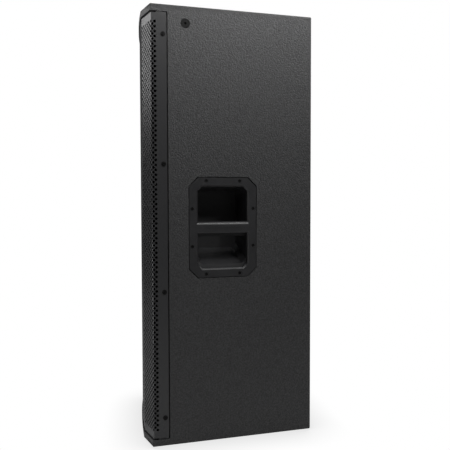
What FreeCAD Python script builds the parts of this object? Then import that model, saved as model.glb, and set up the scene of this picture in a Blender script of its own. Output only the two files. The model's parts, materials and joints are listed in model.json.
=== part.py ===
"""Floor-standing two-way PA loudspeaker with two 12-inch woofers and a horn.

Frame: +Z up, -Y to the listener, origin on the floor under the middle of the
case. Each side closes in towards the back, and the front has a bowed middle
between two facets. Anything on a side is drawn in that side's own frame,
(along, inward, z): along runs back from the front corner on the side's face.
"""
import FreeCAD, Part
import math
import os

Vec = FreeCAD.Vector

# ---- Case: driving dimensions, millimetres and degrees -----------------------------------
case_width = 430.0        # widest, across the corners between sides and facets
case_height = 1140.0      # without the feet
side_length = 443.5       # side face from front corner to back, along the slope
side_taper = 8.0          # each side closes in by this angle
facet_length = 71.6       # each front facet, across
facet_slope = 18.5        # each facet swings forward by this angle
bow_rise = 4.5            # the middle of the front stands this far forward of its edges
panel = 18.0              # plywood
edge_round = 3.5          # outer edges of the case
foot_height = 4.0

# ---- Clearances --------------------------------------------------------------------------
bore_clearance = 0.1      # a fastener or barrel in its hole, radial
body_gap = 0.3            # between bodies that move past each other
glue_gap = 0.05           # between pieces glued together

# ---- Grille ------------------------------------------------------------------------------
sheet = 1.5               # perforated steel
grille_setback = 2.4      # the sheet's face lies this far behind the edges of the case
grille_end_gap = 4.6      # shadow gap to the top and bottom panels
return_length = 42.1      # how far the sheet runs back on each side
return_groove = 3.2       # groove behind the return
groove_depth = 9.0
lip_setback = 16.0        # side panel's front edge, behind the corner
lip_gap = 0.4             # between the sheet and the lip that it is screwed to
foam = 6.0                # open-cell foam glued behind the front of the sheet
foam_side_gap = 1.5       # from the foam's ends to the sheet's returns
grille_screw_along = 33.0
grille_screw_offsets = (165.5, 495.0)     # above and below the middle of the case
grille_washer = (6.2, 1.2)                # radius and thickness of the screw's flange
grille_screw_head = (3.6, 2.8)

# ---- Baffle and what it carries ----------------------------------------------------------
baffle_setback = 20.0     # baffle's face, behind the corners
lower_woofer_height = 270.0
upper_woofer_height = 620.0
horn_height = 960.0
port_spread = 128.0       # port axes, each side of the middle
port_heights = (75.0, 440.0)
port_radius = 33.0
port_wall = 3.0
port_lip = 8.0            # port flange, beyond the tube
port_lip_thickness = 4.0
port_length = 92.0       # behind the baffle's face

# ---- Woofer: radii, and depths behind the baffle's face ----------------------------------
frame_edge = 4.5          # frame's rim beyond its bolt circle
frame_thickness = 8.0
frame_cutout_gap = 2.0    # between the frame and its hole in the baffle
frame_wall = 4.5
surround_seat = 9.5       # from the frame's body out to the surround's edge
frame_mouth_depth = 12.0
frame_seat = 86.0         # frame's outer radius at the motor
frame_depth = 88.0        # to the motor's face
frame_arms = 6
frame_window = 52.0       # width of the opening between two arms
bolt_head_gap = 0.2       # between a bolt's head and the surround
woofer_bolts = 8
cone_rim = 127.7
cone_thickness = 1.6
cone_neck_depth = 44.0
surround_roll = 9.0       # radius of the half roll
surround_thickness = 1.2
surround_lip = 2.5
dust_cap_radius = 48.0
dust_cap_rise = 14.0
dust_cap_wall = 1.0
former_radius = 38.0      # voice-coil former, outer
former_wall = 0.6
former_end_depth = 100.0
winding = 0.6
winding_length = 12.0
spider_depth = 64.0
spider_thickness = 1.5
spider_radius = 86.0
spider_ledge = 8.0
magnet_gap = 1.0          # air each side of the coil
pole_plate_radius = 72.0
front_plate_thickness = 8.0
magnet_radius = 78.0
magnet_bore = 46.0
magnet_thickness = 20.0
back_plate_thickness = 9.0
pole_vent = 12.0

# ---- Horn and compression driver ---------------------------------------------------------
horn_flange = (340.0, 280.0)
horn_flange_thickness = 5.0
horn_wall = 4.0
horn_cutout_gap = 1.5
throat_radius = 19.0
horn_sections = ((0.0, 306.0, 246.0, 26.0), (30.0, 252.0, 200.0, 32.0), (75.0, 176.0, 136.0, 36.0),
                 (120.0, 112.0, 84.0, 32.0), (160.0, 64.0, 52.0, 24.0), (195.0, 38.4, 38.4, 18.8))
throat_flange_radius = 50.0
throat_flange_thickness = 8.0
driver_radius = 58.0
driver_pole_plate = 10.0
driver_magnet_thickness = 20.0
driver_magnet_bore = 42.0
driver_top_plate = 10.0
driver_pole_radius = 35.0
driver_pole_bore = 24.0
driver_coil_wall = 0.7
driver_coil_gap = 0.6
driver_coil_length = 9.0
driver_dome_rise = 8.0
driver_dome_wall = 0.5
driver_cover_depth = 23.0
driver_cover_wall = 3.0
plug_ribs = 3

# ---- Handles -----------------------------------------------------------------------------
handle_along = 191.6      # middle of the handle, back from the front corner
handle_height = 570.0
bezel_size = (183.4, 263.0)
bezel_chamfer = 24.0
bezel_thickness = 5.0
bezel_sink = 1.0          # bezel's face, below the side's face
bezel_gap = 2.0           # round the bezel in its recess
mouth_size = (137.0, 217.0)
mouth_corner = 12.0
mouth_bevel = 3.5
cup_wall = 3.0
cup_depth = 92.0
cup_ledge = 14.0          # level floor behind the mouth
cup_step = (2.0, 9.5)     # run and rise of the step up from the ledge
cup_floor_rise = 48.5     # floor at the back of the cup, above the mouth's lower edge
cup_side_draft = 6.0
cup_roof_draft = 12.0
cup_hole_gap = 2.0
grip_size = (31.0, 22.0)  # height, and depth from the bezel's face
grip_rounds = (10.0, 4.0) # upper and lower edges
grip_lip = (3.5, 9.0)     # thickness of the lip behind the bar, and its drop below the bar
grip_ridge = (90.0, 1.6, 0.8)
handle_screw_places = ((46.0, 123.0), (83.8, 49.5))

# ---- Rigging points, feet ----------------------------------------------------------------
insert_flange = (12.5, 4.0)               # radius, thickness
insert_barrel = (8.0, 30.0)               # radius, length
insert_bore = (4.25, 27.0)                # M10 core radius, depth
side_insert_place = (91.8, 44.3)          # along, below the top
end_insert_places = ((-90.0, -110.0), (90.0, -110.0), (-90.0, 150.0), (90.0, 150.0))
rear_insert_spread = 80.0
rear_insert_drop = 60.0
plug_head_radius = 10.0
plug_head_height = 5.6
plug_socket = (3.0, 4.0)                  # half across flats, depth
plug_length = 20.0
foot_radius = 20.0
foot_inset = 42.0         # foot's axis, in from the case's edges
foot_web = 1.0            # rubber left above the screw's head

# ---- Rear: input plate and crossover -----------------------------------------------------
input_height = 330.0
input_plate_size = (190.0, 120.0)
input_plate_corner = 10.0
input_plate_thickness = 2.0
input_plate_sink = 4.0
input_plate_gap = 1.0
input_window_border = 14.0
socket_spread = 38.0
socket_flange = (26.0, 31.0, 3.0)
socket_barrel = (12.0, 30.0)
socket_cavity = (10.9, 5.5, 26.0)         # outer radius, post radius, depth
board_size = (210.0, 150.0, 9.0)
board_height = 560.0

# ---- Braces, pads, leads, screws ---------------------------------------------------------
brace_heights = (400.0, 790.0)
brace_front = -15.0
brace_rail = 45.0
pad_thickness = 25.0
lead_radius = 3.0
lead_standoff = 56.0      # leads run this far in front of the crossover board
lead_bend = 24.0
tag_angle = 50.0          # where a woofer's tags sit on its frame, up from level
upper_lead_spread = 95.0
wood_screw = (2.3, 15.0)                  # radius, length
small_head = (4.2, 2.4)                   # radius, height
machine_head = (4.3, 3.0)
screw_socket = (1.6, 1.4)                 # half across flats, depth

# ---- Worked out from the above -----------------------------------------------------------
sin_taper = math.sin(math.radians(side_taper))
cos_taper = math.cos(math.radians(side_taper))
sin_slope = math.sin(math.radians(facet_slope))
cos_slope = math.cos(math.radians(facet_slope))
half_width = case_width / 2
facet_rise = facet_length * sin_slope
case_depth = side_length * cos_taper + facet_rise + bow_rise
back_y = case_depth / 2
corner_y = bow_rise + facet_rise - case_depth / 2
case_bottom = foot_height
case_top = foot_height + case_height
inside_bottom = case_bottom + panel
inside_top = case_top - panel
middle_z = (case_bottom + case_top) / 2
baffle_y = corner_y + baffle_setback
inner_back = back_y - panel
rebate = sheet + lip_gap
surround_outer = cone_rim + body_gap + 2 * surround_roll + surround_lip
woofer_bolt_circle = surround_outer + bolt_head_gap + machine_head[0]
frame_radius = woofer_bolt_circle + frame_edge
frame_mouth = surround_outer - surround_seat    # frame's outer radius inside the baffle
frame_cutout = frame_mouth + frame_cutout_gap


# ---- Drawing aids ------------------------------------------------------------------------
def save(name, shape):
    solids = shape.Solids
    piece = solids[0] if len(solids) == 1 else Part.makeCompound(solids)
    piece.exportStep("parts/%s.step" % name)


def block(x0, x1, y0, y1, z0, z1):
    return Part.makeBox(x1 - x0, y1 - y0, z1 - z0, Vec(x0, y0, z0))


def rod_y(radius, y0, y1, x=0.0, z=0.0):
    return Part.makeCylinder(radius, y1 - y0, Vec(x, y0, z), Vec(0, 1, 0))


def rod_z(radius, z0, z1, x=0.0, y=0.0):
    return Part.makeCylinder(radius, z1 - z0, Vec(x, y, z0), Vec(0, 0, 1))


def slab(points, z0, z1):
    """A flat piece with a polygon (x, y) for its plan."""
    wire = Part.makePolygon([Vec(x, y, z0) for x, y in points + points[:1]])
    return Part.Face(wire).extrude(Vec(0, 0, z1 - z0))


def upright(points, y0, y1):
    """A flat piece with a polygon (x, z) for its front view, from y0 to y1."""
    wire = Part.makePolygon([Vec(x, y0, z) for x, z in points + points[:1]])
    return Part.Face(wire).extrude(Vec(0, y1 - y0, 0))


def turned(profile, z=0.0, x=0.0):
    """A piece turned about an axis along Y, from a polygon of (radius, y)."""
    wire = Part.makePolygon([Vec(r, y, 0) for r, y in profile + profile[:1]])
    piece = Part.Face(wire).revolve(Vec(0, 0, 0), Vec(0, 1, 0), 360)
    piece.translate(Vec(x, 0, z))
    return piece


def ring(outer, inner, y0, y1, z=0.0, x=0.0):
    return rod_y(outer, y0, y1, x, z).cut(rod_y(inner, y0 - 1, y1 + 1, x, z))


def octagon(centre_x, centre_z, width, height, corner):
    """A rectangle with its corners cut off, as (x, z) points."""
    a, b = width / 2, height / 2
    around = ((a - corner, -b), (a, corner - b), (a, b - corner), (a - corner, b),
              (corner - a, b), (-a, b - corner), (-a, corner - b), (corner - a, -b))
    return [(centre_x + x, centre_z + z) for x, z in around]


def rounded_wire(width, height, corner, y, x=0.0, z=0.0):
    """A rectangle with round corners, upright at y."""
    a, b, r = width / 2, height / 2, corner
    d = r * (1 - math.sqrt(0.5))
    corners = (((a - r, -b), (a - d, d - b), (a, r - b)), ((a, b - r), (a - d, b - d), (a - r, b)),
               ((r - a, b), (d - a, b - d), (-a, b - r)), ((-a, r - b), (d - a, d - b), (r - a, -b)))
    edges = []
    for index, points in enumerate(corners):
        start, middle, end = [Vec(x + px, y, z + pz) for px, pz in points]
        edges.append(Part.Arc(start, middle, end).toShape())
        nx, nz = corners[(index + 1) % 4][0]
        edges.append(Part.makeLine(end, Vec(x + nx, y, z + nz)))
    return Part.Wire(edges)


def rounded_plate(width, height, corner, y0, y1, x=0.0, z=0.0):
    return Part.Face(rounded_wire(width, height, corner, y0, x, z)).extrude(Vec(0, y1 - y0, 0))


def hex_hole(half_flats, depth):
    """A hexagonal hole sunk along +Y from the origin."""
    reach = half_flats / math.cos(math.pi / 6)
    points = [(reach * math.cos(math.radians(60 * n)), reach * math.sin(math.radians(60 * n)))
              for n in range(6)]
    return upright(points, -1.0, depth)


def screw(head, shank):
    """A screw along +Y: its head stands on y = 0 and its shank goes to +Y."""
    radius, height = head
    body = rod_y(radius, -height, 0).fuse(rod_y(shank[0], 0, shank[1]))
    recess = hex_hole(*screw_socket)
    recess.translate(Vec(0, -height, 0))
    return body.cut(recess)


def moved(shape, x, y, z):
    copy = shape.copy()
    copy.translate(Vec(x, y, z))
    return copy


def turned_round(shape, axis, degrees):
    copy = shape.copy()
    copy.rotate(Vec(0, 0, 0), axis, degrees)
    return copy


def mirrored(shape):
    return shape.mirror(Vec(0, 0, 0), Vec(1, 0, 0))


def on_side(shape):
    """Puts a piece drawn in the side's own frame onto the +X side."""
    copy = shape.copy()
    turn = FreeCAD.Rotation(Vec(0, 0, 1), 90 + side_taper)
    copy.Placement = FreeCAD.Placement(Vec(half_width, corner_y, 0), turn).multiply(copy.Placement)
    return copy


def both_sides(shapes):
    right = [on_side(shape) for shape in shapes]
    return Part.makeCompound(right + [mirrored(shape) for shape in right])


# ---- Plan of the case --------------------------------------------------------------------
def side_point(along, inward):
    return (half_width - along * sin_taper - inward * cos_taper,
            corner_y + along * cos_taper - inward * sin_taper)


def side_x(y, inward):
    """Half the width, at y, between the two side faces moved inward."""
    along = (y - corner_y + inward * sin_taper) / cos_taper
    return side_point(along, inward)[0]


def front_points(front_inset, side_inset):
    """Right-hand corner and facet edge of the front, moved in from the case's edges."""
    facet = (half_width - front_inset * sin_slope, corner_y + front_inset * cos_slope)
    side = side_point(0.0, side_inset)
    # along the facet by t and along the side by s, from these two starting points
    determinant = cos_slope * cos_taper + sin_slope * sin_taper
    dx, dy = side[0] - facet[0], side[1] - facet[1]
    t = (-dx * cos_taper - dy * sin_taper) / determinant
    corner = (facet[0] - t * cos_slope, facet[1] - t * sin_slope)
    edge_y = corner_y - facet_rise + front_inset
    run = (facet[1] - edge_y) / sin_slope
    edge = (facet[0] - run * cos_slope, edge_y)
    return corner, edge


def front_edges(right, edge, z):
    """Edges across the front from the left end of a chain of points to its right end."""
    left = [(-x, y) for x, y in right]
    edges = [Part.makeLine(Vec(*left[n], z), Vec(*left[n + 1], z)) for n in range(len(left) - 1)]
    peak = Vec(0, edge[1] - bow_rise, z)
    edges.append(Part.Arc(Vec(-edge[0], edge[1], z), peak, Vec(edge[0], edge[1], z)).toShape())
    back = right[::-1]
    edges += [Part.makeLine(Vec(*back[n], z), Vec(*back[n + 1], z)) for n in range(len(back) - 1)]
    return edges


def end_panel(z0, z1):
    """Top or bottom panel, the full plan of the case."""
    corner, edge = front_points(0.0, 0.0)
    rear = (side_x(back_y, 0.0), back_y)
    edges = front_edges([rear, corner, edge], edge, z0)
    edges.append(Part.makeLine(Vec(*rear, z0), Vec(-rear[0], rear[1], z0)))
    return Part.Face(Part.Wire(edges)).extrude(Vec(0, 0, z1 - z0))


def cross_panel(y0, y1, z0, z1):
    """A panel that fits between the side panels."""
    a, b = side_x(y0, panel), side_x(y1, panel)
    return slab([(-a, y0), (a, y0), (b, y1), (-b, y1)], z0, z1)


def round_outline(shape, face_z):
    """Rounds the edges round a panel's outer face and its two rear uprights."""
    chosen = []
    for edge in shape.Edges:
        ends = [vertex.Point for vertex in edge.Vertexes]
        around_face = all(abs(point.z - face_z) < 0.01 for point in ends)
        rear_upright = all(abs(point.y - back_y) < 0.01 for point in ends) and \
            abs(ends[0].z - ends[-1].z) > panel / 2
        if around_face or rear_upright:
            chosen.append(edge)
    return shape.makeFillet(min(edge_round, panel / 3), chosen)


# ---- Rigging inserts ---------------------------------------------------------------------
def insert(countersunk):
    """A flanged M10 insert: flange face on y = 0, barrel to +Y."""
    radius, thickness = insert_flange
    body = rod_y(radius, 0, thickness).fuse(rod_y(insert_barrel[0], thickness, insert_barrel[1]))
    body = body.cut(rod_y(insert_bore[0], -1, insert_bore[1]))
    if countersunk:
        body = body.cut(plug_cone(bore_clearance))
    return body


def plug_cone(extra):
    core = insert_bore[0] - bore_clearance + extra
    return turned([(0, -0.01), (plug_head_radius + extra, -0.01), (plug_head_radius + extra, 0.8),
                   (core, plug_head_height + extra), (0, plug_head_height + extra)])


def insert_hole():
    """What a panel loses for an insert."""
    radius, thickness = insert_flange
    return rod_y(radius + bore_clearance, -1, thickness).fuse(
        rod_y(insert_barrel[0] + bore_clearance, thickness, insert_barrel[1] + 1))


def insert_places():
    """Every insert's spot as a function that places a shape there, and whether it is plugged."""
    def from_top(x, y):
        return lambda shape: moved(turned_round(shape, Vec(1, 0, 0), -90), x, y, case_top)

    def from_bottom(x, y):
        return lambda shape: moved(turned_round(shape, Vec(1, 0, 0), 90), x, y, case_bottom)

    def from_rear(x):
        z = case_top - rear_insert_drop
        return lambda shape: moved(turned_round(shape, Vec(0, 0, 1), 180), x, back_y, z)

    def from_side(flip):
        along, drop = side_insert_place
        return lambda shape: flip(on_side(moved(shape, along, 0, case_top - drop)))

    return {"top": [from_top(x, y) for x, y in end_insert_places],
            "bottom": [from_bottom(x, y) for x, y in end_insert_places],
            "rear": [from_rear(-rear_insert_spread), from_rear(rear_insert_spread)],
            "right": [from_side(lambda shape: shape)],
            "left": [from_side(mirrored)]}


def make_rigging():
    places = insert_places()
    pieces, plugs = [], []
    plug = plug_cone(0.0).fuse(rod_y(insert_bore[0] - bore_clearance, 0, plug_length))
    plug = plug.cut(hex_hole(*plug_socket))
    for where, spots in places.items():
        on_a_side = where in ("left", "right")
        for spot in spots:
            pieces.append(spot(insert(on_a_side)))
            if on_a_side:
                plugs.append(spot(plug))
    save("rigging_inserts", Part.makeCompound(pieces))
    save("rigging_plug_screws", Part.makeCompound(plugs))


def insert_holes(where):
    return [spot(insert_hole()) for spot in insert_places()[where]]


# ---- Feet --------------------------------------------------------------------------------
def foot_places():
    front_y = corner_y + foot_inset
    rear_y = back_y - foot_inset
    return [(side * (side_x(y, 0.0) - foot_inset), y) for y in (front_y, rear_y) for side in (-1, 1)]


def make_feet():
    sunk = foot_height - foot_web
    hole = rod_z(wood_screw[0] + bore_clearance, -1, foot_height + 1).fuse(
        rod_z(small_head[0] + 1.0, -1, sunk))
    disc = rod_z(foot_radius, 0, foot_height)
    disc = disc.makeChamfer(1.0, [disc.Edges[2]]).cut(hole)
    foot_screw = turned_round(screw(small_head, wood_screw), Vec(1, 0, 0), 90)
    save("feet", Part.makeCompound([moved(disc, x, y, 0) for x, y in foot_places()]))
    save("foot_screws", Part.makeCompound([moved(foot_screw, x, y, sunk) for x, y in foot_places()]))


# ---- Grille ------------------------------------------------------------------------------
def grille_screw_heights():
    return [middle_z + sign * offset for offset in grille_screw_offsets for sign in (-1, 1)]


def make_grille():
    z0 = inside_bottom + grille_end_gap
    z1 = inside_top - grille_end_gap
    outer_corner, outer_edge = front_points(grille_setback, 0.0)
    inner_corner, inner_edge = front_points(grille_setback + sheet, sheet)
    outer_end = side_point(return_length, 0.0)
    inner_end = side_point(return_length, sheet)
    edges = front_edges([outer_end, outer_corner, outer_edge], outer_edge, z0)
    edges.append(Part.makeLine(Vec(*outer_end, z0), Vec(*inner_end, z0)))
    edges += front_edges([inner_end, inner_corner, inner_edge], inner_edge, z0)
    edges.append(Part.makeLine(Vec(-outer_end[0], outer_end[1], z0),
                               Vec(-inner_end[0], inner_end[1], z0)))
    wire = Part.Wire(Part.sortEdges(edges)[0])
    grille = Part.Face(wire).extrude(Vec(0, 0, z1 - z0))
    hole = rod_y(wood_screw[0] + bore_clearance, -5, rebate + 5)
    fixing = screw(grille_screw_head, wood_screw).fuse(
        ring(grille_washer[0], grille_screw_head[0] / 2, -grille_washer[1], 0))
    places = [(grille_screw_along, z) for z in grille_screw_heights()]
    holes = both_sides([moved(hole, along, 0, z) for along, z in places])
    save("grille", grille.cut(holes))
    save("grille_screws", both_sides([moved(fixing, along, 0, z) for along, z in places]))


def make_foam():
    """Foam that keeps the holes dark and the dust out, behind the facets and the bowed middle."""
    near = grille_setback + sheet + glue_gap
    side_inset = sheet + foam_side_gap
    z0, z1 = inside_bottom + grille_end_gap, inside_top - grille_end_gap
    outer = front_points(near, side_inset)
    inner = front_points(near + foam, side_inset)
    edges = front_edges(list(outer), outer[1], z0) + front_edges(list(inner), inner[1], z0)
    for side in (-1, 1):
        edges.append(Part.makeLine(Vec(side * outer[0][0], outer[0][1], z0),
                                   Vec(side * inner[0][0], inner[0][1], z0)))
    wire = Part.Wire(Part.sortEdges(edges)[0])
    save("grille_foam", Part.Face(wire).extrude(Vec(0, 0, z1 - z0)))


# ---- Panels ------------------------------------------------------------------------------
def make_side_panels():
    groove_end = return_length + return_groove
    back_inner = (back_y - corner_y + panel * sin_taper) / cos_taper
    plan = [(lip_setback, rebate), (return_length, rebate), (return_length, groove_depth),
            (groove_end, groove_depth), (groove_end, 0.0), (side_length, 0.0),
            (back_inner, panel), (lip_setback, panel)]
    board = slab(plan, inside_bottom, inside_top)
    rear_edges = [edge for edge in board.Edges
                  if all(abs(vertex.X - side_length) < 0.01 and abs(vertex.Y) < 0.01
                         for vertex in edge.Vertexes)]
    board = board.makeFillet(min(edge_round, panel / 3), rear_edges)
    centre_z = case_bottom + handle_height
    recess = upright(octagon(handle_along, centre_z, bezel_size[0] + 2 * bezel_gap,
                             bezel_size[1] + 2 * bezel_gap, bezel_chamfer),
                     -1.0, bezel_sink + bezel_thickness)
    margin = 2 * (cup_wall + cup_hole_gap)
    cut_out = upright(octagon(handle_along, centre_z, mouth_size[0] + margin,
                              mouth_size[1] + margin, mouth_corner), -1.0, panel + 1)
    pilot = rod_y(wood_screw[0] + bore_clearance, -1, wood_screw[1] + 1)
    pilots = [moved(pilot, grille_screw_along, 0, z) for z in grille_screw_heights()]
    seat = bezel_sink + bezel_thickness - small_head[1]
    pilots += [moved(pilot, along, seat, z) for along, z in handle_screw_spots()]
    board = board.cut([recess, cut_out] + pilots)
    right = on_side(board)
    save("right_side_panel", right.cut(insert_holes("right")))
    save("left_side_panel", mirrored(right).cut(insert_holes("left")))


def make_end_panels():
    top = round_outline(end_panel(inside_top, case_top), case_top)
    save("top_panel", top.cut(insert_holes("top")))
    bottom = round_outline(end_panel(case_bottom, inside_bottom), case_bottom)
    pilot = rod_z(wood_screw[0] + bore_clearance, 0, wood_screw[1])
    pilots = [moved(pilot, x, y, case_bottom - 1) for x, y in foot_places()]
    save("bottom_panel", bottom.cut(insert_holes("bottom") + pilots))


def make_baffle():
    board = cross_panel(baffle_y, baffle_y + panel, inside_bottom, inside_top)
    cuts = [rod_y(frame_cutout, baffle_y - 1, baffle_y + panel + 1, 0, z) for z in woofer_heights()]
    width, height, corner = horn_sections[0][1:]
    grow = 2 * (horn_wall + horn_cutout_gap)
    cuts.append(rounded_plate(width + grow, height + grow, corner, baffle_y - 1,
                              baffle_y + panel + 1, 0, case_bottom + horn_height))
    cuts += [rod_y(port_radius + port_wall + bore_clearance, baffle_y - 1, baffle_y + panel + 1, x, z)
             for x, z in port_places()]
    pilot = rod_y(wood_screw[0] + bore_clearance, baffle_y - 1, baffle_y + wood_screw[1] + 1)
    cuts += [moved(pilot, x, 0, z) for x, z in woofer_bolt_places() + horn_screw_places()]
    save("front_baffle", board.cut(cuts))


def make_rear_panel():
    board = cross_panel(inner_back, back_y, inside_bottom, inside_top)
    z = case_bottom + input_height
    width, height = input_plate_size
    grow = 2 * input_plate_gap
    pocket_y = back_y - input_plate_sink - input_plate_thickness
    pocket = rounded_plate(width + grow, height + grow, input_plate_corner, pocket_y, back_y + 1, 0, z)
    window = rounded_plate(width - 2 * input_window_border, height - 2 * input_window_border,
                           input_plate_corner, inner_back - 1, back_y, 0, z)
    pilot = rod_y(wood_screw[0] + bore_clearance, inner_back + 1, pocket_y + 1)
    pilots = [moved(pilot, x, 0, height_z) for x, height_z in input_screw_places()]
    save("rear_panel", board.cut([pocket, window] + pilots + insert_holes("rear")))


def make_braces():
    for name, height in zip(("lower_brace", "upper_brace"), brace_heights):
        z = case_bottom + height
        board = cross_panel(brace_front, inner_back, z, z + panel)
        rear = inner_back - brace_rail
        a = side_x(brace_front, panel) - brace_rail
        b = side_x(rear, panel) - brace_rail
        front = brace_front + brace_rail
        window = slab([(-a, front), (a, front), (b, rear), (-b, rear)], z - 1, z + panel + 1)
        uprights = [edge for edge in window.Edges if abs(edge.tangentAt(0).z) > 0.9]
        save(name, board.cut(window.makeFillet(20.0, uprights)))


# ---- Handles -----------------------------------------------------------------------------
def handle_screw_spots():
    centre_z = case_bottom + handle_height
    return [(handle_along + side * a, centre_z + up * b)
            for a, b in handle_screw_places for side in (-1, 1) for up in (-1, 1)]


def cup_loft(grow, start):
    """The cup's hollow, or its outside when grown, from depth start to the back of the cup."""
    centre_z = case_bottom + handle_height
    face = bezel_sink
    floor_z = centre_z - mouth_size[1] / 2
    roof_z = centre_z + mouth_size[1] / 2
    step_run, step_rise = cup_step
    stations = ((start, 0.0), (face + cup_ledge, 0.0), (face + cup_ledge + step_run, step_rise),
                (face + cup_depth + grow, cup_floor_rise))
    wires = []
    for depth, rise in stations:
        share = (depth - start) / (face + cup_depth + grow - start)
        low = floor_z + rise - grow
        high = roof_z - share * cup_roof_draft + grow
        width = mouth_size[0] - 2 * share * cup_side_draft + 2 * grow
        points = octagon(handle_along, (low + high) / 2, width, high - low, mouth_corner)
        wires.append(Part.makePolygon([Vec(x, depth, z) for x, z in points + points[:1]]))
    return Part.makeLoft(wires, True, True)


def make_handles():
    centre_z = case_bottom + handle_height
    face, seat = bezel_sink, bezel_sink + bezel_thickness
    bezel = upright(octagon(handle_along, centre_z, *bezel_size, bezel_chamfer), face, seat)
    shell = bezel.fuse(cup_loft(cup_wall, seat)).cut(cup_loft(0.0, face - 0.01))
    flare = [Part.makePolygon([Vec(x, depth, z) for x, z in points + points[:1]])
             for depth, points in
             ((face - 0.5, octagon(handle_along, centre_z, mouth_size[0] + 2 * mouth_bevel + 1,
                                   mouth_size[1] + 2 * mouth_bevel + 1, mouth_corner + mouth_bevel)),
              (face + mouth_bevel, octagon(handle_along, centre_z, *mouth_size, mouth_corner)))]
    shell = shell.cut(Part.makeLoft(flare, True, True))
    height, depth = grip_size
    reach = mouth_size[0] / 2 + mouth_bevel
    grip = block(handle_along - reach, handle_along + reach, face, face + depth,
                 centre_z - height / 2, centre_z + height / 2)
    long_edges = [edge for edge in grip.Edges if abs(edge.tangentAt(0).x) > 0.9]
    upper_round, lower_round = grip_rounds
    grip = grip.makeFillet(upper_round, [edge for edge in long_edges if edge.BoundBox.ZMin > centre_z])
    under = [edge for edge in grip.Edges if abs(edge.tangentAt(0).x) > 0.9
             and edge.BoundBox.ZMax < centre_z - height / 2 + 0.1 and edge.BoundBox.YMin < face + 0.1]
    grip = grip.makeFillet(lower_round, under)
    lip_thickness, lip_drop = grip_lip
    lip = block(handle_along - reach, handle_along + reach, face + depth - lip_thickness,
                face + depth, centre_z - height / 2 - lip_drop, centre_z)
    ridge_length, ridge_height, ridge_stand = grip_ridge
    ridge = block(handle_along - ridge_length / 2, handle_along + ridge_length / 2,
                  face - ridge_stand, face + 1, centre_z - ridge_height / 2,
                  centre_z + ridge_height / 2)
    counterbore = rod_y(small_head[0] + 0.5, face - 1, seat - small_head[1])
    through = rod_y(wood_screw[0] + bore_clearance, face, seat + 1)
    holes = [moved(counterbore.fuse(through), along, 0, z) for along, z in handle_screw_spots()]
    handle = on_side(shell.fuse([grip, lip, ridge]).removeSplitter().cut(holes))
    save("right_handle", handle)
    save("left_handle", mirrored(handle))
    fixing = screw((small_head[0], small_head[1] - 0.3), (wood_screw[0], wood_screw[1] - 3))
    save("handle_screws", both_sides([moved(fixing, along, seat - small_head[1], z)
                                      for along, z in handle_screw_spots()]))


# ---- Woofers -----------------------------------------------------------------------------
def woofer_heights():
    return [case_bottom + lower_woofer_height, case_bottom + upper_woofer_height]


def woofer_bolt_places():
    angles = [math.radians((n + 0.5) * 360.0 / woofer_bolts) for n in range(woofer_bolts)]
    return [(woofer_bolt_circle * math.cos(a), z + woofer_bolt_circle * math.sin(a))
            for z in woofer_heights() for a in angles]


def basket(z):
    y = baffle_y
    flange_y = y - frame_thickness
    inner = frame_mouth - frame_wall
    seat_inner = frame_seat - frame_wall
    motor = y + frame_depth
    body = turned([(frame_radius, flange_y), (frame_radius, y), (frame_mouth, y),
                   (frame_mouth, y + frame_mouth_depth), (frame_seat, motor - 10),
                   (frame_seat, motor), (magnet_bore, motor), (magnet_bore, motor - frame_wall),
                   (seat_inner, motor - frame_wall), (seat_inner, motor - 12),
                   (inner, y + frame_mouth_depth - 2), (inner, flange_y)], z)
    low, high = y + frame_mouth_depth + 8, motor - 18
    for n in range(frame_arms):
        window = block(frame_seat - 10, frame_mouth + 10, low, high, -frame_window / 2,
                       frame_window / 2)
        body = body.cut(moved(turned_round(window, Vec(0, 1, 0), (n + 0.5) * 360 / frame_arms), 0, 0, z))
    ledge_y = y + spider_depth
    slope = (inner - seat_inner) / (frame_depth - 12 - (frame_mouth_depth - 2))
    wall_radius = inner - slope * (spider_depth + 3 - (frame_mouth_depth - 2))
    ledge = ring(wall_radius + 1, spider_radius - spider_ledge, ledge_y, ledge_y + 3, z)
    holes = [rod_y(wood_screw[0] + bore_clearance, flange_y - 1, y + 1, x, bolt_z)
             for x, bolt_z in woofer_bolt_places()]
    return body.fuse(ledge).cut(holes)


def surround(z):
    plane = baffle_y - frame_thickness
    inner = cone_rim + body_gap
    roll_centre = inner + surround_roll
    outer = roll_centre + surround_roll
    t = surround_thickness
    arc = [math.radians(180 - 15 * n) for n in range(13)]
    outside = [(roll_centre + surround_roll * math.cos(a), plane - t / 2 - surround_roll * math.sin(a))
               for a in arc]
    small = surround_roll - t
    inside = [(roll_centre + small * math.cos(a), plane - small * math.sin(a)) for a in arc[::-1]]
    profile = outside + [(outer + surround_lip, plane - t / 2), (outer + surround_lip, plane)]
    return turned(profile + inside + [(inner, plane)], z)


def cone(z):
    plane = baffle_y - frame_thickness
    neck = baffle_y + cone_neck_depth
    inner = former_radius + glue_gap
    t = cone_thickness
    return turned([(cone_rim, plane - 1.2), (cone_rim, plane + t), (inner + 4, neck + t),
                   (inner, neck + t), (inner, neck - t), (inner + 3, neck - t)], z)


def cone_face(radius):
    """Depth behind the baffle's face of the cone's front at a radius."""
    inner = former_radius + glue_gap + 3
    slope = (cone_neck_depth - cone_thickness + frame_thickness + 1.2) / (cone_rim - inner)
    return cone_neck_depth - cone_thickness - slope * (radius - inner)


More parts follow.
